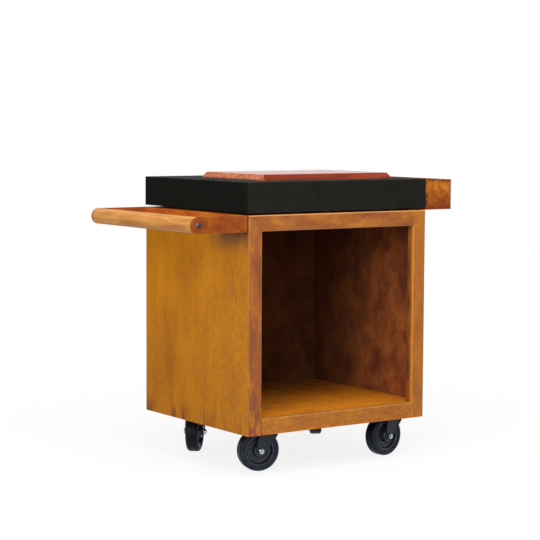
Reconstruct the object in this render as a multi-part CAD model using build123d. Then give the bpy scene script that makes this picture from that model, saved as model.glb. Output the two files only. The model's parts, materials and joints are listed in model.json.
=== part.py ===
from build123d import *
import math
import os

# A movable outdoor prep table. A cabinet of folded weathering steel stands on four swivel casters, a mitred
# stone worktop lies over a shadow gap, a push bar sits on the left and a herb planter hangs on the right.
# Millimetres, +Z up, +X towards the planter, -Y towards the open front.
# The origin lies on the ground, in the middle of the whole length and depth.

# Cabinet
cabinet_width = 684.0
cabinet_depth = 600.0
cabinet_height = 670.0
sheet = 3.0
bend_inside = 2.0
frame_face = 50.0
frame_return = 26.0

# Worktop
worktop_thickness = 92.5
worktop_oversail = 4.0
stone = 20.0
arris = 1.5
shadow_gap = 6.5
carrier_inset = 54.0
carrier_flange = 25.0
pad_thickness = 3.0
pad_length = 60.0
pad_width = 22.0
pad_corner = 3.0

# Chopping board
board_length = 512.0
board_width = 356.0
board_thickness = 18.0
board_land = 4.0
board_bevel = 45.0
board_corner = 18.0
board_from_left = 121.0
board_from_front = 105.0

# Push bar on the left side
grip_diameter = 50.0
grip_edge = 1.5
handle_reach = 179.0
arm_thickness = 6.0
insert_diameter = 14.0
insert_length = 26.0
insert_engaged = 21.0
grip_thread = 10.0
grip_head = 17.5
grip_head_height = 5.5
foot_thread = 8.0
foot_head = 14.0
foot_head_height = 4.4
foot_nut_flats = 13.0
foot_nut_height = 6.5
foot_bolt_edge = 60.0
foot_bolt_pitch = 160.0
bolt_tail = 1.5

# Round heads: straight rim as a share of the head's height, socket as a share of the thread and height
button_rim = 0.2
socket_flats = 0.6
socket_depth = 0.6

# Hexagon heads and nuts: width of the eased end as a share of the flats, and its slope in degrees
hex_end = 0.95
hex_slope = 30.0

# Planter on the right side
planter_width = 106.0
planter_height = 96.0
planter_gap = 1.0
tongue_reach = 42.0
tongue_setback = 30.0
drain_diameter = 12.0
drain_count = 3
planter_thread = 6.0
planter_bolt_flats = 10.0
planter_bolt_head = 4.0
planter_bolt_count = 3

# Casters
wheel_diameter = 130.0
tyre_width = 42.0
tyre_shoulder = 10.0
rim_diameter = 98.0
rim_width = 37.0
rim_depth = 7.0
rim_ease = 1.5
web_thickness = 18.0
web_slope = 4.0
bead_diameter = 60.0
bead_width = 7.0
bead_height = 3.0
bead_slope = 1.5
hub_diameter = 38.0
hub_width = 50.0
hub_ease = 1.5
sleeve_diameter = 16.0
axle_thread = 10.0
axle_flats = 16.0
axle_head_height = 6.4
axle_nut_height = 8.0
axle_collar = 13.5
axle_collar_height = 2.0
fork_sheet = 3.0
fork_bend = 8.0
fork_boss = 28.0
leg_back = 27.0
leg_front = 28.0
knee_drop = 40.0
leg_border = 3.0
leg_border_height = 1.5
caster_trail = 27.0
crown_clearance = 20.0
race_height = 11.0
race_inner = 48.0
race_outer = 72.0
race_opening = 2.4
ball_diameter = 6.0
ball_count = 10
kingpin_diameter = 12.0
kingpin_head = 22.0
kingpin_head_height = 4.0
caster_plate = 4.0
caster_plate_length = 105.0
caster_plate_width = 85.0
caster_plate_corner = 10.0
caster_hole_length = 80.0
caster_hole_width = 60.0
caster_thread = 8.0
caster_bolt_flats = 13.0
caster_bolt_head = 5.3
caster_bar = 10.0
caster_bar_width = 110.0
caster_inset_left = 133.0
caster_inset_right = 63.0
caster_inset_depth = 97.0

# How far each caster is turned at rest, in degrees about its swivel
steer_front_left = -14.0
steer_front_right = 6.0
steer_rear_left = 47.0
steer_rear_right = -125.0

# Clearances
bolt_clearance = 0.5
thread_clearance = 0.1
running_clearance = 0.08
swivel_clearance = 0.3
ball_clearance = 0.2
hub_clearance = 0.6
ear_clearance = 1.0

# Derived places
fold_outside = bend_inside + sheet
axle_height = wheel_diameter / 2
crown_bottom = wheel_diameter + crown_clearance
crown_top = crown_bottom + fork_sheet
plate_bottom = crown_top + race_height
caster_height = plate_bottom + caster_plate
floor_bottom = caster_height + caster_bar
floor_top = floor_bottom + sheet
cabinet_bottom = floor_top - frame_face
cabinet_top = cabinet_bottom + cabinet_height
worktop_bottom = cabinet_top + shadow_gap
worktop_top = worktop_bottom + worktop_thickness
deck_bottom = worktop_top - stone
arm_height = grip_diameter
foot_length = cabinet_depth / 2
overall_length = arm_height / 2 + handle_reach + cabinet_width + planter_gap + planter_width
left = arm_height / 2 + handle_reach - overall_length / 2
right = left + cabinet_width
worktop_left = left - worktop_oversail
front = -cabinet_depth / 2
back = cabinet_depth / 2
cabinet_middle = (left + right) / 2
grip_x = left - handle_reach
grip_z = cabinet_top - arm_height / 2
fork_gap = hub_width + 2 * hub_clearance
fork_half = fork_gap / 2 + fork_sheet
planter_left = right + planter_gap
planter_right = planter_left + planter_width
planter_middle = (planter_left + planter_right) / 2


def block(x0, x1, y0, y1, z0, z1):
    """Upright block between two corners."""
    return Pos(x0, y0, z0) * Box(x1 - x0, y1 - y0, z1 - z0, align=(Align.MIN, Align.MIN, Align.MIN))


def folded(points, thickness, inside, side):
    """Outline of a folded sheet whose outside corners are the given points."""
    line = FilletPolyline(*points, radius=inside + thickness)
    return make_face(offset(line, amount=thickness, side=side))


def upright(diameter, z0, z1):
    """Round bar along +Z."""
    return Pos(0, 0, z0) * Cylinder(diameter / 2, z1 - z0, align=(Align.CENTER, Align.CENTER, Align.MIN))


def hexagon(flats, z0, z1):
    """Hexagonal bar along +Z, measured across its flats."""
    face = RegularPolygon(flats / 2, 6, major_radius=False)
    return Pos(0, 0, z0) * extrude(face, z1 - z0)


def eased_hexagon(flats, height):
    """Hexagon on the origin along +Z, with the corners of its far end turned off."""
    end = flats * hex_end / 2
    start = end + height / math.tan(math.radians(hex_slope))
    turned = Cone(start, end, height, align=(Align.CENTER, Align.CENTER, Align.MIN))
    return hexagon(flats, 0, height) & turned


def hex_bolt(thread, length, flats, head):
    """Hexagon bolt along +Z, with the underside of its head at the origin."""
    return Rot(180, 0, 0) * eased_hexagon(flats, head) + upright(thread, 0, length)


def button_bolt(thread, length, head, height):
    """Round headed bolt along +Z with a hexagon socket, the underside of its head at the origin."""
    rim = height * button_rim
    rise = height - rim
    radius = (head**2 / 4 + rise**2) / (2 * rise)
    dome = upright(head, -height, 0) & Pos(0, 0, radius - height) * Sphere(radius)
    collar = upright(head, -rim, 0)
    socket = hexagon(thread * socket_flats, -height, -height * (1 - socket_depth))
    return dome + collar - socket + upright(thread, 0, length)


def nut(thread, flats, height):
    """Hexagon nut on the origin along +Z."""
    return eased_hexagon(flats, height) - upright(thread + 2 * thread_clearance, 0, height)


def toward(x, y, z, direction):
    """Place whose +Z points in the given direction."""
    return Plane(origin=(x, y, z), z_dir=direction).location


def mirrored(shape):
    """Copy on the other side of the cabinet's middle."""
    return mirror(shape, about=Plane.YZ.offset(cabinet_middle))


nodes = {}

# Cabinet: each side panel is folded round the front corner into a post, which is mitred to the top rail
post_line = [
    (left, back),
    (left, front),
    (left + frame_face, front),
    (left + frame_face, front + frame_return),
]
post_outline = folded(post_line, sheet, bend_inside, Side.LEFT)
side_panel = Pos(0, 0, cabinet_bottom) * extrude(post_outline, cabinet_height)


def mitre_half(x, z):
    """Half of the square where a post meets the top rail, up to the given third corner."""
    plan = Polyline((left, cabinet_top), (left + frame_face, cabinet_top - frame_face), (x, z), close=True)
    return Pos(0, front, 0) * extrude(Plane.XZ * make_face(plan), -frame_return)


side_panel = side_panel - mitre_half(left + frame_face, cabinet_top)

foot_bolt_y = []
for step in (0, 1):
    from_edge = foot_bolt_edge + step * foot_bolt_pitch
    foot_bolt_y.append(front + from_edge)
    foot_bolt_y.append(back - from_edge)

left_panel = side_panel
foot_hole = foot_thread + 2 * bolt_clearance
for y in foot_bolt_y:
    left_panel = left_panel - toward(left - sheet, y, grip_z, (1, 0, 0)) * upright(foot_hole, 0, 3 * sheet)
nodes["left_side_panel"] = left_panel
nodes["right_side_panel"] = mirrored(side_panel)

top_rail_line = [
    (front + frame_return, cabinet_top),
    (front, cabinet_top),
    (front, cabinet_top - frame_face),
    (front + frame_return, cabinet_top - frame_face),
]
bottom_rail_line = [
    (front + frame_return, floor_top),
    (front, floor_top),
    (front, cabinet_bottom),
]
top_rail = folded(top_rail_line, sheet, bend_inside, Side.LEFT)
below_mitre = mitre_half(left, cabinet_top - frame_face)
full_rail = extrude(Plane.YZ.offset(left) * top_rail, cabinet_width)
nodes["front_top_rail"] = full_rail - below_mitre - mirrored(below_mitre)
bottom_rail = folded(bottom_rail_line, sheet, bend_inside, Side.LEFT)
between_posts = cabinet_width - 2 * frame_face
nodes["front_bottom_rail"] = extrude(Plane.YZ.offset(left + frame_face) * bottom_rail, between_posts)

inside_left = left + sheet
inside_right = right - sheet
inside_back = back - sheet
nodes["back_panel"] = block(inside_left, inside_right, inside_back, back, cabinet_bottom, cabinet_top)


def level_sheet(z0):
    """Sheet across the cabinet, behind the front frame."""
    return block(inside_left, inside_right, front + frame_return, inside_back, z0, z0 + sheet)


floor_ear = block(
    left + fold_outside + ear_clearance,
    left + frame_face - fold_outside - ear_clearance,
    front + fold_outside + ear_clearance,
    front + frame_return,
    floor_bottom,
    floor_top,
)
nodes["storage_floor"] = level_sheet(floor_bottom) + floor_ear + mirrored(floor_ear)

planter_bolt_x = right - tongue_reach / 2
planter_bolt_y = []
for step in range(planter_bolt_count):
    planter_bolt_y.append(cabinet_depth * ((step + 1) / (planter_bolt_count + 1) - 0.5))

top_panel = level_sheet(cabinet_top - sheet)
for y in planter_bolt_y:
    hole = upright(planter_thread + 2 * bolt_clearance, cabinet_top - 2 * sheet, cabinet_top + sheet)
    top_panel = top_panel - Pos(planter_bolt_x, y, 0) * hole
nodes["top_panel"] = top_panel

# Worktop: one stone block, which oversails the cabinet on the handle side, is cut along its mitres into a
# deck and four aprons
stone_block = block(worktop_left, right, front, back, worktop_bottom, worktop_top)
stone_edges = stone_block.faces().sort_by(Axis.Z)[-1].edges() + stone_block.edges().filter_by(Axis.Z)
eased_block = chamfer(stone_edges, arris)
deck_face = Pos((worktop_left + right) / 2, 0, worktop_top) * Rectangle(right - worktop_left, cabinet_depth)
deck_wedge = extrude(deck_face, -stone, taper=45)
nodes["worktop_deck"] = eased_block & deck_wedge

corner_outside = [(worktop_left, front), (right, front), (right, back), (worktop_left, back)]
corner_inside = [
    (worktop_left + stone, front + stone),
    (right - stone, front + stone),
    (right - stone, back - stone),
    (worktop_left + stone, back - stone),
]
for number, name in enumerate(["front", "right", "back", "left"]):
    after = (number + 1) % 4
    plan = Polyline(
        corner_outside[number],
        corner_outside[after],
        corner_inside[after],
        corner_inside[number],
        close=True,
    )
    apron = Pos(0, 0, worktop_bottom) * extrude(make_face(plan), worktop_thickness)
    nodes["worktop_apron_" + name] = (eased_block & apron) - deck_wedge

carrier_top = deck_bottom - pad_thickness


def carrier_ring(width, z0, z1):
    """Rectangular ring of the carrier, of the given width inwards."""
    x0 = left + carrier_inset
    x1 = right - carrier_inset
    y0 = front + carrier_inset
    y1 = back - carrier_inset
    hollow = block(x0 + width, x1 - width, y0 + width, y1 - width, z0, z1)
    return block(x0, x1, y0, y1, z0, z1) - hollow


nodes["worktop_carrier"] = (
    carrier_ring(sheet, cabinet_top, carrier_top)
    + carrier_ring(carrier_flange, cabinet_top, cabinet_top + sheet)
    + carrier_ring(carrier_flange, carrier_top - sheet, carrier_top)
)

pads = []
for side_x in (-1, 1):
    for step in (-1, 0, 1):
        pad_x = cabinet_middle + side_x * (cabinet_width / 2 - carrier_inset - carrier_flange / 2)
        pad_y = step * (cabinet_depth / 2 - carrier_inset - pad_length)
        pad = extrude(RectangleRounded(pad_width, pad_length, pad_corner), pad_thickness)
        pads.append(Pos(pad_x, pad_y, carrier_top) * pad)
nodes["bedding_pads"] = Compound(children=pads)

# Chopping board with a sloping edge all round
board_place = Pos(
    left + board_from_left + board_length / 2,
    front + board_from_front + board_width / 2,
    worktop_top,
)
board_face = RectangleRounded(board_length, board_width, board_corner)
board_foot = extrude(board_face, board_land)
board_slope = Pos(0, 0, board_land) * extrude(board_face, board_thickness - board_land, taper=board_bevel)
nodes["chopping_board"] = board_place * (board_foot + board_slope)

# Push bar: flat arms with a round end, whose folded feet meet on the side panel, and a wooden grip bar
arm_line = [
    (grip_x - arm_height, front),
    (left, front),
    (left, front + foot_length),
]
arm_bar = Pos(0, 0, cabinet_top - arm_height) * extrude(
    folded(arm_line, arm_thickness, bend_inside, Side.LEFT), arm_height
)
across = (0, 1, 0)
arm_end = toward(grip_x, front, grip_z, across) * upright(arm_height, -foot_length, foot_length)
arm_rest = block(grip_x, left, front, front + foot_length, cabinet_top - arm_height, cabinet_top)
arm_hole = toward(grip_x, front, grip_z, across) * upright(
    grip_thread + 2 * bolt_clearance, -arm_thickness, 2 * arm_thickness
)
front_arm = arm_bar & (arm_end + arm_rest)
front_arm = front_arm - arm_hole
for y in foot_bolt_y:
    hole = upright(foot_hole, -arm_thickness, 2 * arm_thickness)
    front_arm = front_arm - toward(left, y, grip_z, (-1, 0, 0)) * hole
nodes["handle_arm_front"] = front_arm
nodes["handle_arm_rear"] = mirror(front_arm, about=Plane.XZ)

grip_start = front + arm_thickness
grip_length = cabinet_depth - 2 * arm_thickness
grip_bar = upright(grip_diameter, 0, grip_length)
grip_bar = fillet(grip_bar.edges().filter_by(GeomType.CIRCLE), grip_edge)
insert_hole = upright(insert_diameter + 2 * thread_clearance, 0, insert_length)
grip_bar = grip_bar - insert_hole - Pos(0, 0, grip_length - insert_length) * insert_hole
nodes["handle_grip"] = toward(grip_x, grip_start, grip_z, across) * grip_bar

insert = upright(insert_diameter, 0, insert_length)
insert = insert - upright(grip_thread + 2 * thread_clearance, 0, insert_length)
grip_bolt = button_bolt(grip_thread, arm_thickness + insert_engaged, grip_head, grip_head_height)
end_front = toward(grip_x, front, grip_z, across)
insert_front = end_front * Pos(0, 0, arm_thickness) * insert
nodes["grip_inserts"] = Compound(children=[insert_front, mirror(insert_front, about=Plane.XZ)])
bolt_front = end_front * grip_bolt
nodes["grip_bolts"] = Compound(children=[bolt_front, mirror(bolt_front, about=Plane.XZ)])

foot_grip = arm_thickness + sheet
foot_bolt = button_bolt(foot_thread, foot_grip + foot_nut_height + bolt_tail, foot_head, foot_head_height)
foot_nut = Pos(0, 0, foot_grip) * nut(foot_thread, foot_nut_flats, foot_nut_height)
foot_bolts = []
foot_nuts = []
for y in foot_bolt_y:
    place = toward(left - arm_thickness, y, grip_z, (1, 0, 0))
    foot_bolts.append(place * foot_bolt)
    foot_nuts.append(place * foot_nut)
nodes["foot_bolts"] = Compound(children=foot_bolts)
nodes["foot_nuts"] = Compound(children=foot_nuts)

# Planter: folded walls on a base whose tongue reaches under the worktop
planter_plan = RectangleRounded(planter_width, cabinet_depth, fold_outside)
planter_hollow = RectangleRounded(planter_width - 2 * sheet, cabinet_depth - 2 * sheet, bend_inside)
base_top = cabinet_top + sheet
wall_height = planter_height - sheet
planter_shell = extrude(planter_plan - planter_hollow, wall_height)
nodes["planter_walls"] = Pos(planter_middle, 0, base_top) * planter_shell

tongue = block(
    right - tongue_reach,
    planter_middle,
    front + tongue_setback,
    back - tongue_setback,
    cabinet_top,
    base_top,
)
planter_base = Pos(planter_middle, 0, cabinet_top) * extrude(planter_plan, sheet) + tongue
for step in range(drain_count):
    y = cabinet_depth * ((step + 1) / (drain_count + 1) - 0.5)
    planter_base = planter_base - Pos(planter_middle, y, 0) * upright(drain_diameter, cabinet_top, base_top)
planter_bolts = []
for y in planter_bolt_y:
    hole = upright(planter_thread + 2 * thread_clearance, cabinet_top, base_top)
    planter_base = planter_base - Pos(planter_bolt_x, y, 0) * hole
    bolt = hex_bolt(planter_thread, 2 * sheet, planter_bolt_flats, planter_bolt_head)
    planter_bolts.append(Pos(planter_bolt_x, y, cabinet_top - sheet) * bolt)
nodes["planter_base"] = planter_base
nodes["planter_bolts"] = Compound(children=planter_bolts)

# One caster, with its swivel on the Z axis, its wheel on the ground and its trail towards -X
fork_line = [
    (-fork_half, 0),
    (-fork_half, crown_top),
    (fork_half, crown_top),
    (fork_half, 0),
]
fork_channel = extrude(
    Plane.YZ * folded(fork_line, fork_sheet, fork_bend - fork_sheet, Side.RIGHT), wheel_diameter, both=True
)
leg_top = Polyline((-leg_back, crown_top), (leg_front, crown_top), (leg_front, crown_top - knee_drop))
leg_boss = Pos(-caster_trail, axle_height) * Circle(fork_boss / 2)
leg_outline = make_hull(leg_boss.edges() + leg_top.edges())
leg_shape = extrude(Plane.XZ * leg_outline, 2 * fork_half, both=True)
border_outline = leg_outline - offset(leg_outline, amount=-leg_border)
border_half = fork_half + leg_border_height
border = extrude(Plane.XZ * border_outline, border_half, both=True)
border_reach = block(
    -wheel_diameter,
    wheel_diameter,
    -border_half,
    border_half,
    0,
    crown_top - fork_bend,
)
border_gap = block(
    -wheel_diameter,
    wheel_diameter,
    -fork_half,
    fork_half,
    0,
    crown_top,
)
leg_border_shape = (border & border_reach) - border_gap
race_middle = crown_top + race_height / 2
race_radius = (race_inner + race_outer) / 4
groove_reach = (ball_diameter / 2 + ball_clearance) * math.sqrt(2)
groove_face = Polyline(
    (race_radius - groove_reach, race_middle),
    (race_radius, race_middle + groove_reach),
    (race_radius + groove_reach, race_middle),
    (race_radius, race_middle - groove_reach),
    close=True,
)
race_groove = revolve(Plane.XZ * make_face(groove_face), Axis.Z)
lower_race = upright(race_outer, crown_top, race_middle - race_opening / 2)
lower_race = lower_race - upright(race_inner, crown_top, plate_bottom) - race_groove
axle_place = toward(-caster_trail, 0, axle_height, across)
fork_shape = (fork_channel & leg_shape) + leg_border_shape + lower_race
fork_shape = fork_shape - upright(kingpin_diameter + 2 * swivel_clearance, 0, caster_height)
axle_hole = axle_thread + 2 * bolt_clearance
fork_shape = fork_shape - axle_place * upright(axle_hole, -wheel_diameter, wheel_diameter)

plate_shape = Pos(0, 0, plate_bottom) * extrude(
    RectangleRounded(caster_plate_length, caster_plate_width, caster_plate_corner), caster_plate
)
upper_race = upright(race_outer, race_middle + race_opening / 2, plate_bottom)
upper_race = upper_race - upright(race_inner, crown_top, plate_bottom) - race_groove
plate_shape = plate_shape + upper_race - upright(kingpin_diameter + 2 * thread_clearance, 0, caster_height)
hole_places = GridLocations(caster_hole_length, caster_hole_width, 2, 2).locations
plate_hole = upright(caster_thread + 2 * bolt_clearance, plate_bottom, caster_height)
for place in hole_places:
    plate_shape = plate_shape - place * plate_hole

pin_bottom = crown_bottom - swivel_clearance - kingpin_head_height
kingpin = upright(kingpin_head, pin_bottom, pin_bottom + kingpin_head_height)
kingpin = kingpin + upright(kingpin_diameter, pin_bottom, caster_height)

sleeve = upright(sleeve_diameter, -fork_gap / 2, fork_gap / 2)
sleeve = sleeve - upright(axle_hole, -fork_gap, fork_gap)
nut_end = axle_nut_height + axle_collar_height
axle_length = 2 * fork_half + nut_end + bolt_tail
axle_bolt = hex_bolt(axle_thread, axle_length, axle_flats, axle_head_height)
axle_nut = nut(axle_thread, axle_flats, axle_nut_height) + upright(axle_collar, axle_nut_height, nut_end)
axle_nut = axle_nut - upright(axle_thread + 2 * thread_clearance, 0, nut_end)
axle_nut = Pos(0, 0, 2 * fork_half) * axle_nut

bore = sleeve_diameter / 2 + running_clearance
hub = hub_diameter / 2
web = web_thickness / 2
web_edge = rim_diameter / 2 - rim_depth
bead_inner = (bead_diameter - bead_width) / 2
bead_outer = (bead_diameter + bead_width) / 2
core_half = [
    (hub_width / 2, bore),
    (hub_width / 2, hub - hub_ease),
    (hub_width / 2 - hub_ease, hub),
    (web, hub + web_slope),
    (web, bead_inner),
    (web + bead_height, bead_inner + bead_slope),
    (web + bead_height, bead_outer - bead_slope),
    (web, bead_outer),
    (web, web_edge - web_slope),
    (rim_width / 2 - rim_ease, web_edge),
    (rim_width / 2, web_edge + rim_ease),
    (rim_width / 2, rim_diameter / 2),
]
core_line = core_half + [(-x, y) for x, y in reversed(core_half)]
core_face = make_face(Polyline(*core_line, close=True))
tyre_middle = (wheel_diameter + rim_diameter) / 4
tyre_face = Pos(0, tyre_middle) * Rectangle(tyre_width, (wheel_diameter - rim_diameter) / 2)
tyre_face = fillet(tyre_face.vertices().group_by(Axis.Y)[-1], tyre_shoulder)
turn_upright = Rot(0, -90, 0)
core_shape = turn_upright * revolve(core_face, Axis.X)
tyre_shape = turn_upright * revolve(tyre_face, Axis.X)

swivel_left = left + caster_inset_left
swivel_right = right - caster_inset_right
swivel_front = front + caster_inset_depth
swivel_back = back - caster_inset_depth
casters = {
    "front_left": (swivel_left, swivel_front, steer_front_left),
    "front_right": (swivel_right, swivel_front, steer_front_right),
    "rear_left": (swivel_left, swivel_back, steer_rear_left),
    "rear_right": (swivel_right, swivel_back, steer_rear_right),
}
kingpins = []
balls = []
caster_bolts = []
plate_bolt = hex_bolt(caster_thread, caster_plate + caster_bar, caster_bolt_flats, caster_bolt_head)
ball = Sphere(ball_diameter / 2)
for name, (x, y, steer) in casters.items():
    fixed = Pos(x, y, 0)
    turned = fixed * Rot(0, 0, steer)
    on_axle = turned * axle_place
    nodes["caster_plate_" + name] = fixed * plate_shape
    nodes["fork_" + name] = turned * fork_shape
    nodes["axle_sleeve_" + name] = on_axle * sleeve
    bolt_place = on_axle * Rot(180, 0, 0) * Pos(0, 0, -fork_half)
    nodes["axle_bolt_" + name] = Compound(children=[bolt_place * axle_bolt, bolt_place * axle_nut])
    nodes["wheel_core_" + name] = on_axle * core_shape
    nodes["tyre_" + name] = on_axle * tyre_shape
    kingpins.append(fixed * kingpin)
    for place in PolarLocations(race_radius, ball_count).locations:
        balls.append(fixed * Pos(0, 0, race_middle) * place * ball)
    for place in hole_places:
        caster_bolts.append(fixed * place * Pos(0, 0, plate_bottom) * plate_bolt)
nodes["kingpins"] = Compound(children=kingpins)
nodes["swivel_balls"] = Compound(children=balls)
nodes["caster_bolts"] = Compound(children=caster_bolts)

for name, x in (("left", swivel_left), ("right", swivel_right)):
    bar = block(
        x - caster_bar_width / 2,
        x + caster_bar_width / 2,
        front + frame_return + ear_clearance,
        inside_back,
        caster_height,
        floor_bottom,
    )
    for y in (swivel_front, swivel_back):
        for place in hole_places:
            hole = upright(caster_thread + 2 * thread_clearance, caster_height, floor_bottom)
            bar = bar - Pos(x, y, 0) * place * hole
    nodes["caster_bar_" + name] = bar

os.makedirs("parts", exist_ok=True)
for name, shape in nodes.items():
    shape.label = name
    export_step(shape, "parts/" + name + ".step")
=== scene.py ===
import json
import math

import bpy
from mathutils import Matrix, Vector


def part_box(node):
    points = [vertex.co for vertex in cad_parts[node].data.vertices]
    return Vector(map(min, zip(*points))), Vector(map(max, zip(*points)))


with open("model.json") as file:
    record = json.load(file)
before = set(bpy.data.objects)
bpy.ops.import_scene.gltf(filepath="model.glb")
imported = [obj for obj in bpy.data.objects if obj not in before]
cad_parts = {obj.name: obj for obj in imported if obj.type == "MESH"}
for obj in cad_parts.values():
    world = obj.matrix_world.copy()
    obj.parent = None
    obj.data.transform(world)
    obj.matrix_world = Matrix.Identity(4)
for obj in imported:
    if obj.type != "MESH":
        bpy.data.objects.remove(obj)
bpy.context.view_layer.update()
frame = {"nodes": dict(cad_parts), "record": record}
nodes = frame["nodes"]
bpy.context.scene.view_settings.view_transform = "Standard"

# Places on the table, in metres, that the patterns of its finishes start from.
left, front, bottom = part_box("left_side_panel")[0]
right, back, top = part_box("right_side_panel")[1]
middle = (left + right) / 2
half_width = (right - left) / 2
post_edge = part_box("left_side_panel")[1].x
half_mouth = middle - post_edge
mouth_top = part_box("front_top_rail")[0].z
floor_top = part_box("storage_floor")[1].z
arm_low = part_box("handle_arm_front")[0].z
planter_low, planter_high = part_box("planter_walls")

# Depths below the outer face of a sheet between which its outer finish gives way to the inner one.
outer_skin = 0.0008
inner_skin = 0.0022

# Sizes of the rust's grain.
crumb_size = 0.0021
scab_size = 0.011

# The camera stands where the photograph was taken from.
camera_place = Vector((-3.2439, -4.6713, 1.0951))
camera_bearing = math.radians(34.709)
camera_dip = math.radians(4.953)
camera_tilt = math.radians(0.305)
camera_lens = 117.75
camera_reach = 60
sensor_width = 36


def stand_camera():
    sine, cosine = math.sin(camera_bearing), math.cos(camera_bearing)
    level = math.cos(camera_dip)
    ahead = Vector((sine * level, cosine * level, -math.sin(camera_dip)))
    side = Vector((cosine, -sine, 0))
    over = side.cross(ahead)
    across = side * math.cos(camera_tilt) + over * math.sin(camera_tilt)
    up = over * math.cos(camera_tilt) - side * math.sin(camera_tilt)
    turn = Matrix((across, up, -ahead)).transposed().to_4x4()
    bpy.ops.object.camera_add(location=camera_place)
    camera = bpy.context.object
    camera.name = "photo_camera"
    camera.matrix_world = Matrix.Translation(camera_place) @ turn
    camera.data.sensor_width = sensor_width
    camera.data.lens = camera_lens
    camera.data.clip_end = camera_reach
    bpy.context.scene.camera = camera


def tone(red, green, blue):
    """A colour on the 0 to 255 scale, as linear values."""
    def linear(part):
        part = part / 255
        return part / 12.92 if part <= 0.04045 else ((part + 0.055) / 1.055) ** 2.4
    return (linear(red), linear(green), linear(blue), 1.0)


def add_node(tree, kind, **settings):
    node = tree.nodes.new(kind)
    for name, value in settings.items():
        setattr(node, name, value)
    return node


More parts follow.
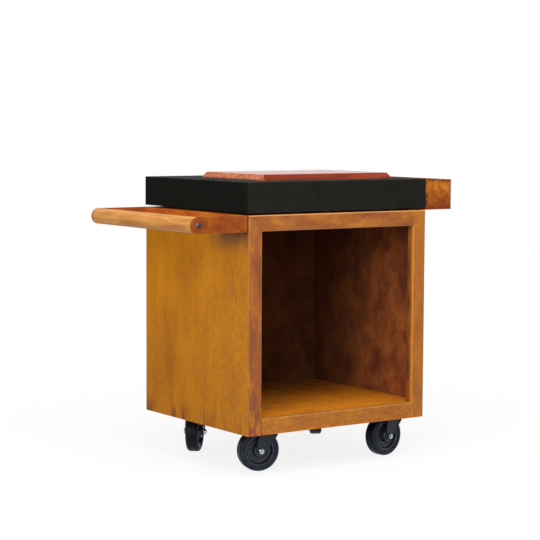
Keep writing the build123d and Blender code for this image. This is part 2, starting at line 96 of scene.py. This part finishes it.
class Finish:
    """A material in the making: its shader, and the place on the object that its patterns follow."""

    def __init__(self, name, metal=0.0, gloss=0.5, sheen=0.0):
        self.material = bpy.data.materials.new(name)
        self.material.use_nodes = True
        self.tree = self.material.node_tree
        self.shader = self.tree.nodes["Principled BSDF"]
        self.shader.inputs["Metallic"].default_value = metal
        self.shader.inputs["Specular IOR Level"].default_value = gloss
        self.shader.inputs["Sheen Weight"].default_value = sheen
        self.shader.inputs["Sheen Roughness"].default_value = 0.25
        where = self.add("ShaderNodeTexCoord")
        self.place = where.outputs["Object"]
        self.normal = where.outputs["Normal"]

    def add(self, kind, **settings):
        return add_node(self.tree, kind, **settings)

    def put(self, value, socket):
        """Links an output to a socket, or sets a plain value on it."""
        if isinstance(value, bpy.types.NodeSocket):
            self.tree.links.new(value, socket)
        else:
            socket.default_value = value

    def noise(self, size, stretch=(1, 1, 1), detail=5, rough=0.55, twist=0.0, drop=0.0):
        """Clouds with blotches of about that size in metres, drawn out by stretch and moved down by drop."""
        spread = self.add("ShaderNodeMapping")
        spread.inputs["Location"].default_value[2] = drop / stretch[2]
        spread.inputs["Scale"].default_value = [1 / factor for factor in stretch]
        self.put(self.place, spread.inputs["Vector"])
        cloud = self.add("ShaderNodeTexNoise")
        self.put(spread.outputs["Vector"], cloud.inputs["Vector"])
        cloud.inputs["Scale"].default_value = 1 / size
        cloud.inputs["Detail"].default_value = detail
        cloud.inputs["Roughness"].default_value = rough
        cloud.inputs["Distortion"].default_value = twist
        return cloud.outputs["Fac"]

    def ramp(self, value, *stops):
        """Colours along a value, each stop a place from 0 to 1 and a colour."""
        scale = self.add("ShaderNodeValToRGB")
        points = scale.color_ramp.elements
        while len(points) < len(stops):
            points.new(0.5)
        for point, (at, colour) in zip(points, stops):
            point.position = at
            point.color = colour
        self.put(value, scale.inputs["Fac"])
        return scale.outputs["Color"]

    def between(self, value, start, end, low=0.0, high=1.0):
        """Value turned into low up to start and high from end, with a soft step."""
        step = self.add("ShaderNodeMapRange", interpolation_type="SMOOTHSTEP")
        self.put(value, step.inputs["Value"])
        step.inputs["From Min"].default_value = start
        step.inputs["From Max"].default_value = end
        step.inputs["To Min"].default_value = low
        step.inputs["To Max"].default_value = high
        return step.outputs["Result"]

    def reckon(self, how, first, second=0.0):
        node = self.add("ShaderNodeMath", operation=how)
        self.put(first, node.inputs[0])
        self.put(second, node.inputs[1])
        return node.outputs["Value"]

    def plus(self, first, second):
        return self.reckon("ADD", first, second)

    def less(self, first, second):
        return self.reckon("SUBTRACT", first, second)

    def times(self, first, second):
        return self.reckon("MULTIPLY", first, second)

    def larger(self, first, second):
        return self.reckon("MAXIMUM", first, second)

    def add_up(self, *parts):
        """Patterns added together, each with its weight."""
        total = 0.0
        for value, weight in parts:
            total = self.plus(self.times(value, weight), total)
        return total

    def mix(self, share, under, over):
        node = self.add("ShaderNodeMix", data_type="RGBA")
        self.put(share, node.inputs["Factor"])
        self.put(under, node.inputs[6])
        self.put(over, node.inputs[7])
        return node.outputs[2]

    def along(self, axis):
        split = self.add("ShaderNodeSeparateXYZ")
        self.put(self.place, split.inputs["Vector"])
        return split.outputs[axis]

    def away(self, axis, centre):
        """Distance from a centre along an axis, either way."""
        return self.reckon("ABSOLUTE", self.less(self.along(axis), centre))

    def edges(self, reach):
        """One at folds and cut edges, nothing on flat faces."""
        rounded = self.add("ShaderNodeBevel", samples=6)
        rounded.inputs["Radius"].default_value = reach
        flat = self.add("ShaderNodeNewGeometry")
        bend = self.add("ShaderNodeVectorMath", operation="DOT_PRODUCT")
        self.put(rounded.outputs["Normal"], bend.inputs[0])
        self.put(flat.outputs["Normal"], bend.inputs[1])
        return self.between(bend.outputs["Value"], 0.98, 0.75)

    def looking(self, line):
        """How far the face looks along a line, either way."""
        share = self.add("ShaderNodeVectorMath", operation="DOT_PRODUCT")
        self.put(self.normal, share.inputs[0])
        share.inputs[1].default_value = line
        return self.reckon("ABSOLUTE", share.outputs["Value"])

    def facing(self, axis):
        return self.looking([float(name == axis) for name in "XYZ"])

    def folds(self):
        """One where the sheet is bent and its face looks along none of the axes, nothing on flat faces."""
        widest = self.larger(self.facing("X"), self.facing("Y"))
        widest = self.larger(widest, self.facing("Z"))
        return self.between(widest, 0.985, 0.86)

    def relief(self, height, depth, strength):
        bump = self.add("ShaderNodeBump")
        bump.inputs["Strength"].default_value = strength
        bump.inputs["Distance"].default_value = depth
        self.put(height, bump.inputs["Height"])
        self.put(bump.outputs["Normal"], self.shader.inputs["Normal"])

    def colour(self, value):
        self.put(value, self.shader.inputs["Base Color"])

    def dull(self, value):
        self.put(value, self.shader.inputs["Roughness"])


# Weathering steel: soft clouds of rust with faint runs, brown stains and a fine grain, with painted shade, a
# painted shadow and painted highlights where noted.

def rust_grain(finish):
    """Fine crumbs of rust, and the larger scabs between them."""
    crumb = finish.noise(crumb_size, detail=4, rough=0.7)
    scab = finish.noise(scab_size, detail=9, rough=0.72)
    finish.dull(finish.between(scab, 0.3, 0.7, 0.76, 0.94))
    finish.relief(finish.add_up((crumb, 0.5), (scab, 0.5)), depth=0.0006, strength=0.3)
    return crumb, scab


def rust(finish, pale, fair, deep, stain, run_length=5.0, drop=0.0):
    cloud = finish.noise(0.19, stretch=(1, 1, 1.5), detail=10, rough=0.6, drop=drop)
    run = finish.noise(0.05, stretch=(1, 1, run_length), detail=5, rough=0.55, drop=drop)
    blot = finish.noise(0.09, stretch=(1, 1, 1.7), detail=12, rough=0.7, drop=drop)
    crumb, scab = rust_grain(finish)
    worn = finish.add_up((cloud, 0.5), (run, 0.25), (scab, 0.25))
    colour = finish.ramp(worn, (0.39, deep), (0.5, fair), (0.61, pale))
    stained = finish.mix(finish.between(blot, 0.54, 0.7, high=0.6), colour, stain)
    return finish.mix(finish.between(crumb, 0.5, 0.72, high=0.45), stained, deep)


def frame_edges(finish):
    """One along the bottom of the front frame, where it is bright orange, and beside its mouth, where a
    painted highlight runs down the post's inner fold.
    """
    lip = finish.between(finish.along("Z"), bottom + 0.014, bottom + 0.005, high=0.6)
    off_middle = finish.away("X", middle)
    at_mouth = finish.times(finish.between(off_middle, half_mouth + 0.006, half_mouth + 0.002),
                            finish.between(off_middle, half_mouth - 0.002, half_mouth))
    below_rail = finish.between(finish.along("Z"), mouth_top, mouth_top - 0.004, high=0.75)
    return finish.larger(lip, finish.times(at_mouth, below_rail))


def frame_patches(finish, grain):
    """Mottling of the front frame, strongest on the left post and low down."""
    bloom = finish.noise(0.011, stretch=grain, detail=10, rough=0.66)
    low_down = finish.between(finish.along("Z"), top - 0.1, bottom + 0.1, 0.25, 0.5)
    on_post = finish.between(finish.along("X"), post_edge + 0.006, post_edge - 0.006)
    extra = finish.times(on_post, finish.plus(low_down, 0.1))
    return finish.times(finish.between(bloom, 0.34, 0.66), finish.plus(low_down, extra))


def frame_rust(finish, grain):
    """Redder rust of the front frame, mottled red brown along the grain and specked with grey."""
    cloud = finish.noise(0.06, stretch=grain, detail=10, rough=0.64)
    speck = finish.noise(0.007, detail=6, rough=0.7)
    crumb = finish.noise(crumb_size, detail=4, rough=0.7)
    red, brown, yellow = tone(144, 80, 44), tone(172, 104, 46), tone(198, 126, 44)
    colour = finish.ramp(cloud, (0.38, red), (0.5, brown), (0.61, yellow))
    right_post = finish.between(finish.along("X"), right - 0.06, right - 0.04, high=0.55)
    bottom_rail = finish.between(finish.along("Z"), floor_top + 0.02, floor_top, high=0.7)
    rinsed = finish.mix(finish.larger(right_post, bottom_rail), colour, tone(196, 128, 42))
    # Bright orange along the bottom, and a painted highlight beside the mouth.
    edged = finish.mix(frame_edges(finish), rinsed, tone(218, 124, 24))
    patched = finish.mix(frame_patches(finish, grain), edged, tone(140, 79, 54))
    specked = finish.mix(finish.between(speck, 0.53, 0.66, high=0.6), patched, tone(140, 90, 80))
    return finish.mix(finish.between(crumb, 0.5, 0.72, high=0.4), specked, tone(124, 68, 38))


def shaded_inside(finish, colour, shade):
    """Browner rust and painted shade on the faces inside the cabinet."""
    in_width = finish.between(finish.away("X", middle), half_width - outer_skin, half_width - inner_skin)
    behind_frame = finish.between(finish.along("Y"), front + 0.003, front + 0.018)
    before_back = finish.between(finish.along("Y"), back - outer_skin, back - inner_skin)
    under_top = finish.between(finish.along("Z"), top - outer_skin, top - inner_skin)
    inside = finish.times(finish.times(in_width, behind_frame), finish.times(before_back, under_top))
    return finish.mix(inside, colour, shade)


def inner_rust_and_shade(finish):
    """Brown rust with paler flecks, and painted shade that darkens it towards the back."""
    cloud = finish.noise(0.08, stretch=(1, 1, 1.3), detail=11, rough=0.68)
    fleck = finish.noise(0.003, detail=4, rough=0.7)
    dark, brown, pale = tone(104, 54, 34), tone(136, 74, 38), tone(160, 91, 42)
    colour = finish.ramp(cloud, (0.38, dark), (0.5, brown), (0.62, pale))
    flecked = finish.mix(finish.between(fleck, 0.56, 0.74, high=0.5), colour, tone(152, 94, 52))
    # Painted shade, deepest at the back of the cabinet.
    rearward = finish.between(finish.along("Y"), front + 0.1, back - 0.02, high=0.72)
    return finish.mix(rearward, flecked, tone(50, 28, 20))


def run_marks(finish, colour):
    """Brown smudges where water has run off the bottom edge, most of them towards the back."""
    height = finish.noise(0.12, detail=4, rough=0.5)
    smudge = finish.noise(0.026, stretch=(1, 1, 4), detail=8, rough=0.62)
    above = finish.less(finish.along("Z"), bottom)
    low = finish.between(finish.less(above, finish.times(height, 0.14)), 0.008, -0.067)
    rearward = finish.between(finish.along("Y"), -0.14, 0.04, low=0.35)
    share = finish.times(finish.between(smudge, 0.44, 0.62, high=0.8), rearward)
    return finish.mix(finish.times(low, share), colour, tone(116, 62, 42))


def grey_bloom_and_shade(finish, colour):
    """Thin grey brown film with painted shade, heavier down the panel and towards the front corner."""
    mist = finish.noise(0.014, stretch=(1, 1, 1.6), detail=8, rough=0.68)
    lower = finish.between(finish.along("Z"), top - 0.05, bottom + 0.05, high=0.5)
    forward = finish.between(finish.along("Y"), back - 0.15, front + 0.03, high=0.7)
    # Part grey film, part painted shade where the lamps light the panel most.
    share = finish.times(finish.plus(lower, forward), finish.between(mist, 0.36, 0.64, high=0.5))
    return finish.mix(share, colour, tone(152, 97, 56))


def arm_shadow_and_stain(finish, colour):
    """Painted shadow of the front arm on the panel, with a grey brown stain washed down from it."""
    cloud = finish.noise(0.04, stretch=(1, 1, 1.5), detail=9, rough=0.62)
    below = finish.between(finish.along("Z"), arm_low - 0.085, arm_low - 0.005)
    forward = finish.between(finish.along("Y"), front + 0.27, front + 0.12)
    on_left = finish.between(finish.along("X"), middle, left)
    # Painted shadow: darkest just below the arm and near the front, fading down and back.
    share = finish.times(finish.times(below, forward), finish.between(cloud, 0.35, 0.6, 0.5, 0.95))
    return finish.mix(finish.times(share, on_left), colour, tone(110, 71, 54))


def weathered_side():
    """Yellow side sheet that turns into the post at the front, with a painted highlight along its folds, a
    painted shadow under the front arm, and brown rust and painted shade on its inner face.
    """
    finish = Finish("weathered_side", gloss=0.06)
    pale, fair, deep, stain = tone(208, 135, 22), tone(194, 123, 22), tone(169, 102, 28), tone(148, 89, 50)
    panel = rust(finish, pale, fair, deep, stain, drop=0.3)
    marked = arm_shadow_and_stain(finish, run_marks(finish, grey_bloom_and_shade(finish, panel)))
    on_front = finish.between(finish.along("Y"), front + 0.0045, front + 0.0015)
    post = finish.mix(on_front, marked, frame_rust(finish, grain=(1, 1, 3)))
    # Painted highlight along the folds, stronger at the mouth than at the outer corner.
    rubbed_and_highlight = finish.between(finish.away("X", middle), half_mouth + 0.01, half_width - 0.01, 0.6, 0.2)
    fold_highlight = finish.mix(finish.times(finish.folds(), rubbed_and_highlight), post, tone(214, 142, 58))
    # Painted shade on the faces inside the cabinet.
    finish.colour(shaded_inside(finish, fold_highlight, inner_rust_and_shade(finish)))
    return finish.material


def weathered_frame():
    """Rails of the front frame, with a painted highlight along their folds, strongest on the top fold."""
    finish = Finish("weathered_frame", gloss=0.06)
    rust_grain(finish)
    # Painted highlight: faint low down, strongest on the top fold.
    rubbed_and_highlight = finish.between(finish.along("Z"), top - 0.1, top - 0.01, 0.1, 0.75)
    rail = frame_rust(finish, grain=(2.4, 1, 1))
    finish.colour(finish.mix(finish.times(finish.folds(), rubbed_and_highlight), rail, tone(226, 162, 98)))
    return finish.material


def weathered_floor():
    """Orange sheet, with painted shade that darkens it towards the back."""
    finish = Finish("weathered_floor", gloss=0.06)
    pale, fair, deep, stain = tone(222, 138, 28), tone(206, 122, 24), tone(172, 96, 28), tone(140, 78, 36)
    sheet = rust(finish, pale, fair, deep, stain, run_length=1.0)
    # Painted shade, deepest at the back of the cabinet.
    rearward = finish.between(finish.along("Y"), front + 0.1, back - 0.05, high=0.65)
    finish.colour(finish.mix(rearward, sheet, tone(86, 48, 26)))
    return finish.material


def weathered_arm():
    """Redder flat bar, oranger on the face of its foot, paler along its edges as a painted highlight, and
    with painted shade in the groove beside the post.
    """
    finish = Finish("weathered_arm", gloss=0.08)
    pale, fair, deep, stain = tone(168, 86, 32), tone(148, 73, 26), tone(124, 57, 27), tone(100, 50, 36)
    plate = rust(finish, pale, fair, deep, stain, run_length=1.0)
    blotch = finish.noise(0.024, stretch=(1.6, 1, 1), detail=9, rough=0.66)
    dark, brown, light = tone(126, 58, 30), tone(156, 78, 27), tone(184, 96, 34)
    mottled = finish.ramp(blotch, (0.38, dark), (0.5, brown), (0.62, light))
    blended = finish.mix(0.5, plate, mottled)
    # Paler edges: painted highlight.
    rubbed_and_highlight = finish.mix(finish.times(finish.edges(0.003), 0.5), blended, tone(186, 108, 54))
    streak = finish.noise(0.03, stretch=(1, 4, 1), detail=9, rough=0.65)
    red, orange, yellow = tone(160, 74, 24), tone(194, 94, 26), tone(210, 118, 40)
    strip = finish.ramp(streak, (0.38, red), (0.5, orange), (0.62, yellow))
    foot = finish.between(finish.along("X"), left - 0.012, left - 0.007, high=0.85)
    foot_face = finish.times(foot, finish.between(finish.facing("X"), 0.5, 0.8))
    footed = finish.mix(foot_face, rubbed_and_highlight, strip)
    # Painted shade in the groove between the foot and the post.
    groove = finish.between(finish.along("X"), left - 0.0065, left - 0.004, high=0.9)
    bend = finish.between(finish.facing("X"), 0.95, 0.85)
    finish.colour(finish.mix(finish.times(groove, bend), footed, tone(62, 32, 24)))
    return finish.material


def planter_rims(finish):
    """One near the edges of the planter's outer faces."""
    rims = 0.0
    for axis, low, high in zip("XYZ", planter_low, planter_high):
        half = (high - low) / 2
        off_middle = finish.away(axis, (low + high) / 2)
        near_edge = finish.between(off_middle, half - 0.009, half - 0.003)
        under_skin = finish.between(off_middle, half - 0.0002, half - 0.0006)
        rims = finish.larger(finish.times(near_edge, under_skin), rims)
    return rims


def weathered_planter():
    """Mottled orange rust, redder below, with dark scabs along the edges of its faces."""
    finish = Finish("weathered_planter", gloss=0.08)
    cloud = finish.noise(0.034, detail=11, rough=0.66)
    scale = finish.noise(0.018, detail=10, rough=0.7)
    crumb, scab = rust_grain(finish)
    red, orange, yellow = tone(160, 80, 26), tone(188, 106, 32), tone(206, 130, 44)
    colour = finish.ramp(cloud, (0.38, red), (0.5, orange), (0.62, yellow))
    height = finish.less(finish.less(finish.along("Z"), planter_low.z), finish.times(scale, 0.12))
    wetted = finish.mix(finish.between(height, 0.005, -0.045, high=0.85), colour, tone(134, 60, 24))
    scabbed = finish.mix(finish.between(scab, 0.58, 0.72, high=0.6), wetted, tone(98, 46, 34))
    rims = finish.times(planter_rims(finish), finish.between(scale, 0.38, 0.58, 0.25, 0.9))
    rimmed = finish.mix(rims, scabbed, tone(104, 48, 34))
    finish.colour(finish.mix(finish.between(crumb, 0.5, 0.72, high=0.4), rimmed, tone(120, 58, 30)))
    return finish.material


# The worktop is honed on its sides and wiped smoother on top.

def stone(name, gloss, dullness, dark, light):
    finish = Finish(name, gloss=gloss)
    crystal = finish.noise(0.0016, detail=3, rough=0.7)
    cloud = finish.noise(0.06, detail=9, rough=0.65)
    body = finish.ramp(cloud, (0.35, dark), (0.65, light))
    flecked = finish.mix(finish.between(crystal, 0.55, 0.75, high=0.5), body, tone(50, 49, 47))
    finish.colour(finish.mix(finish.times(finish.edges(0.002), 0.45), flecked, tone(60, 60, 59)))
    finish.dull(finish.between(cloud, 0.3, 0.7, dullness - 0.06, dullness + 0.08))
    finish.relief(crystal, depth=0.0003, strength=0.3)
    return finish.material


def black_stone():
    return stone("black_stone", gloss=0.06, dullness=0.64, dark=tone(22, 21, 18), light=tone(33, 32, 29))


# The top is the same stone painted a lighter, cooler grey: a painted reflection at a low angle.
def black_stone_top():
    return stone("black_stone_top", gloss=0.015, dullness=0.6, dark=tone(24, 24, 25), light=tone(36, 36, 38))


# The left apron is the same stone with painted shade on it.
def black_stone_left_shaded():
    return stone("black_stone_left_shaded", gloss=0.03, dullness=0.7, dark=tone(14, 13, 10), light=tone(22, 21, 18))


def wood(finish, size, length, pale, fair, dark):
    """Grain lines drawn out along the length of the piece, with fine pores."""
    stretch = [14 if axis == length else 1 for axis in "XYZ"]
    line = finish.noise(size, stretch=stretch, detail=5, rough=0.55, twist=0.9)
    fine = finish.noise(size * 0.25, stretch=[factor * 2 for factor in stretch], detail=4, rough=0.6)
    pore = finish.noise(size * 0.09, stretch=stretch, detail=2, rough=0.5)
    figure = finish.add_up((line, 0.7), (fine, 0.3))
    colour = finish.ramp(figure, (0.37, dark), (0.5, fair), (0.63, pale))
    finish.relief(finish.add_up((fine, 0.5), (pore, 0.5)), depth=0.0002, strength=0.25)
    return finish.mix(finish.between(pore, 0.6, 0.74, high=0.4), colour, dark), figure


def grip_wood():
    """Oiled wood, darker in patches where hands hold it."""
    finish = Finish("grip_wood", gloss=0.14)
    pale, fair, dark = tone(222, 160, 86), tone(206, 140, 68), tone(176, 106, 44)
    colour, figure = wood(finish, 0.016, "Y", pale, fair, dark)
    hand = finish.noise(0.11, stretch=(1, 1.6, 1), detail=5, rough=0.6)
    finish.colour(finish.mix(finish.between(hand, 0.52, 0.72, high=0.5), colour, tone(176, 104, 44)))
    finish.dull(finish.between(figure, 0.35, 0.65, 0.42, 0.58))
    return finish.material


def board_wood():
    """Oiled hardwood: a smoother top, duller sloping edges, and drier, paler end grain at both ends."""
    finish = Finish("board_wood", gloss=0.2, sheen=0.7)
    pale, fair, dark = tone(190, 88, 50), tone(152, 62, 34), tone(98, 34, 20)
    colour, figure = wood(finish, 0.018, "X", pale, fair, dark)
    sloped = finish.mix(finish.times(finish.folds(), 0.6), colour, tone(116, 34, 10))
    end_face = finish.between(finish.facing("X"), 0.4, 0.6)
    end_grain = finish.times(end_face, finish.between(figure, 0.4, 0.6, 0.4, 0.8))
    dry = finish.mix(end_grain, sloped, tone(206, 128, 92))
    finish.colour(finish.mix(finish.times(finish.edges(0.003), 0.4), dry, tone(190, 112, 82)))
    rubbed_and_highlight = finish.between(figure, 0.35, 0.65, 0.5, 0.6)
    finish.dull(finish.plus(rubbed_and_highlight, finish.times(finish.folds(), 0.35)))
    return finish.material


def bar_steel():
    finish = Finish("bar_steel", metal=0.4, gloss=0.4)
    scale = finish.noise(0.02, detail=6, rough=0.65)
    grain = finish.noise(0.0018, detail=3)
    dark, grey, brown = tone(58, 50, 46), tone(78, 66, 58), tone(104, 68, 46)
    finish.colour(finish.ramp(scale, (0.3, dark), (0.55, grey), (0.75, brown)))
    finish.dull(finish.between(scale, 0.3, 0.7, 0.5, 0.75))
    finish.relief(grain, depth=0.0003, strength=0.3)
    return finish.material


def bright_metal(name, light, dark, dullness):
    finish = Finish(name, metal=1.0)
    turned = finish.noise(0.0012, detail=4, rough=0.6)
    film = finish.noise(0.012, detail=5, rough=0.6)
    body = finish.ramp(film, (0.3, dark), (0.7, light))
    finish.colour(finish.mix(finish.between(turned, 0.4, 0.7, high=0.4), body, dark))
    finish.dull(finish.between(turned, 0.3, 0.7, dullness - 0.07, dullness + 0.09))
    finish.relief(turned, depth=0.0001, strength=0.2)
    return finish.material


def bolt_steel():
    return bright_metal("bolt_steel", light=tone(80, 88, 96), dark=tone(50, 57, 64), dullness=0.3)


def zinc_steel():
    return bright_metal("zinc_steel", light=tone(196, 201, 208), dark=tone(126, 132, 141), dullness=0.2)


def insert_brass():
    return bright_metal("insert_brass", light=tone(220, 186, 112), dark=tone(178, 142, 76), dullness=0.3)


def pad_rubber():
    finish = Finish("pad_rubber", gloss=0.2)
    grain = finish.noise(0.002, detail=3)
    finish.colour(finish.ramp(grain, (0.3, tone(30, 30, 31)), (0.7, tone(42, 42, 43))))
    finish.dull(finish.between(grain, 0.3, 0.7, 0.75, 0.9))
    finish.relief(grain, depth=0.0003, strength=0.4)
    return finish.material


def caster_steel():
    """Dark paint, dusty in places and worn at the edges."""
    finish = Finish("caster_steel", gloss=0.25)
    peel = finish.noise(0.0028, detail=2, rough=0.5)
    dust = finish.noise(0.018, detail=5, rough=0.6)
    paint = finish.ramp(dust, (0.35, tone(34, 41, 45)), (0.7, tone(52, 60, 64)))
    finish.colour(finish.mix(finish.times(finish.edges(0.002), 0.5), paint, tone(92, 98, 104)))
    finish.dull(finish.between(dust, 0.3, 0.7, 0.38, 0.55))
    finish.relief(peel, depth=0.0002, strength=0.25)
    return finish.material


def wheel_plastic():
    finish = Finish("wheel_plastic", gloss=0.4)
    mould = finish.noise(0.0018, detail=2, rough=0.5)
    dust = finish.noise(0.015, detail=5, rough=0.65)
    body = finish.ramp(dust, (0.35, tone(24, 28, 38)), (0.7, tone(44, 49, 61)))
    # Paler along the edges: painted highlight on the rims.
    finish.colour(finish.mix(finish.times(finish.edges(0.0015), 0.6), body, tone(100, 104, 114)))
    finish.dull(finish.between(dust, 0.3, 0.7, 0.18, 0.34))
    finish.relief(mould, depth=0.0001, strength=0.2)
    return finish.material


def tyre_rubber(corner, axle):
    """Painted shade on the tread, which is darker than the walls on the sides that look along the axle."""
    finish = Finish("tyre_rubber_" + corner, gloss=0.1)
    skin = finish.noise(0.0015, detail=3, rough=0.6)
    dust = finish.noise(0.02, detail=6, rough=0.65)
    tread = finish.ramp(dust, (0.35, tone(12, 14, 22)), (0.72, tone(24, 27, 37)))
    wall = finish.ramp(dust, (0.35, tone(27, 31, 42)), (0.72, tone(50, 56, 69)))
    # The darker tread is painted shade.
    finish.colour(finish.mix(finish.between(finish.looking(axle), 0.35, 0.8), tread, wall))
    finish.dull(finish.between(dust, 0.3, 0.7, 0.34, 0.56))
    finish.relief(skin, depth=0.0002, strength=0.3)
    return finish.material


def dress_nodes():
    """Each slot's finish is made by the function of its name, and a few nodes have a finish of their own."""
    makers = [weathered_side, weathered_frame, weathered_floor, weathered_arm, weathered_planter, bar_steel,
              black_stone, board_wood, grip_wood, insert_brass, bolt_steel, zinc_steel, pad_rubber,
              caster_steel, wheel_plastic]
    by_slot = {make.__name__: make() for make in makers}
    by_node = {"worktop_deck": black_stone_top(), "worktop_apron_left": black_stone_left_shaded()}
    for joint in frame["record"]["behaviour"]["joints"]:
        if joint["child"].startswith("wheel_"):
            corner = joint["child"].removeprefix("wheel_")
            by_node["tyre_" + corner] = tyre_rubber(corner, joint["axis"])
    for part in frame["record"]["subparts"]:
        piece = nodes[part["node"]]
        piece.data.materials.clear()
        piece.data.materials.append(by_node.get(part["node"]) or by_slot[part["material_slot"]])


# The studio: white paper and air to the eye, and soft lamps from above and from the front.

def seen(tree):
    """One where the ray comes from the camera, a reflection or glass, nothing where it only carries light."""
    path = add_node(tree, "ShaderNodeLightPath")
    share = path.outputs["Is Camera Ray"]
    for ray in ("Is Glossy Ray", "Is Transmission Ray"):
        either = add_node(tree, "ShaderNodeMath", operation="MAXIMUM")
        tree.links.new(share, either.inputs[0])
        tree.links.new(path.outputs[ray], either.inputs[1])
        share = either.outputs["Value"]
    return share


def paper_shade(tree):
    """White to the eye, and grey where the paper only throws light back at the object."""
    shade = add_node(tree, "ShaderNodeMix", data_type="RGBA")
    shade.inputs[6].default_value = (0.45, 0.45, 0.45, 1)
    shade.inputs[7].default_value = (1, 1, 1, 1)
    tree.links.new(seen(tree), shade.inputs["Factor"])
    return shade.outputs[2]


def paper_glow(tree):
    """Share of plain white in the paper, which leaves the shadow near the object."""
    place = add_node(tree, "ShaderNodeTexCoord")
    away = add_node(tree, "ShaderNodeVectorMath", operation="LENGTH")
    tree.links.new(place.outputs["Object"], away.inputs[0])
    fade = add_node(tree, "ShaderNodeMapRange", interpolation_type="SMOOTHSTEP")
    fade.inputs["From Min"].default_value = 0.4
    fade.inputs["From Max"].default_value = 2.2
    fade.inputs["To Min"].default_value = 0.85
    fade.inputs["To Max"].default_value = 1.0
    tree.links.new(away.outputs["Value"], fade.inputs["Value"])
    share = add_node(tree, "ShaderNodeMath", operation="MULTIPLY")
    tree.links.new(fade.outputs["Result"], share.inputs[0])
    tree.links.new(seen(tree), share.inputs[1])
    return share.outputs["Value"]


def studio_paper():
    paper = bpy.data.materials.new("studio_paper")
    paper.use_nodes = True
    tree = paper.node_tree
    tree.nodes.clear()
    matt = add_node(tree, "ShaderNodeBsdfDiffuse")
    tree.links.new(paper_shade(tree), matt.inputs["Color"])
    white = add_node(tree, "ShaderNodeEmission")
    white.inputs["Strength"].default_value = 1.0
    blend = add_node(tree, "ShaderNodeMixShader")
    tree.links.new(paper_glow(tree), blend.inputs["Fac"])
    tree.links.new(matt.outputs["BSDF"], blend.inputs[1])
    tree.links.new(white.outputs["Emission"], blend.inputs[2])
    surface = add_node(tree, "ShaderNodeOutputMaterial")
    tree.links.new(blend.outputs["Shader"], surface.inputs["Surface"])
    return paper


def lay_floor():
    bpy.ops.mesh.primitive_plane_add(size=40)
    floor = bpy.context.object
    floor.name = "studio_floor"
    floor.data.materials.append(studio_paper())


def fill_air():
    world = bpy.data.worlds.new("studio")
    bpy.context.scene.world = world
    world.use_nodes = True
    tree = world.node_tree
    air = tree.nodes["Background"]
    air.inputs["Color"].default_value = (1, 1, 1, 1)
    strength = add_node(tree, "ShaderNodeMapRange")
    strength.inputs["To Min"].default_value = 0.6
    strength.inputs["To Max"].default_value = 1.0
    tree.links.new(seen(tree), strength.inputs["Value"])
    tree.links.new(strength.outputs["Result"], air.inputs["Strength"])


def hang_softbox(name, place, target, width, power):
    bpy.ops.object.light_add(type="AREA", location=place)
    lamp = bpy.context.object
    lamp.name = name
    lamp.data.shape = "DISK"
    lamp.data.size = width
    lamp.data.energy = power
    lamp.rotation_euler = (Vector(target) - Vector(place)).to_track_quat("-Z", "Y").to_euler()


def light_studio():
    fill_air()
    hang_softbox("overhead_softbox", place=(-0.5, -1.5, 3.6), target=(0, 0, 0.6), width=2.4, power=60)
    hang_softbox("front_softbox", place=(-3.6, -3.4, 2.2), target=(0, 0, 0.5), width=3.2, power=136)


stand_camera()
dress_nodes()
lay_floor()
light_studio()
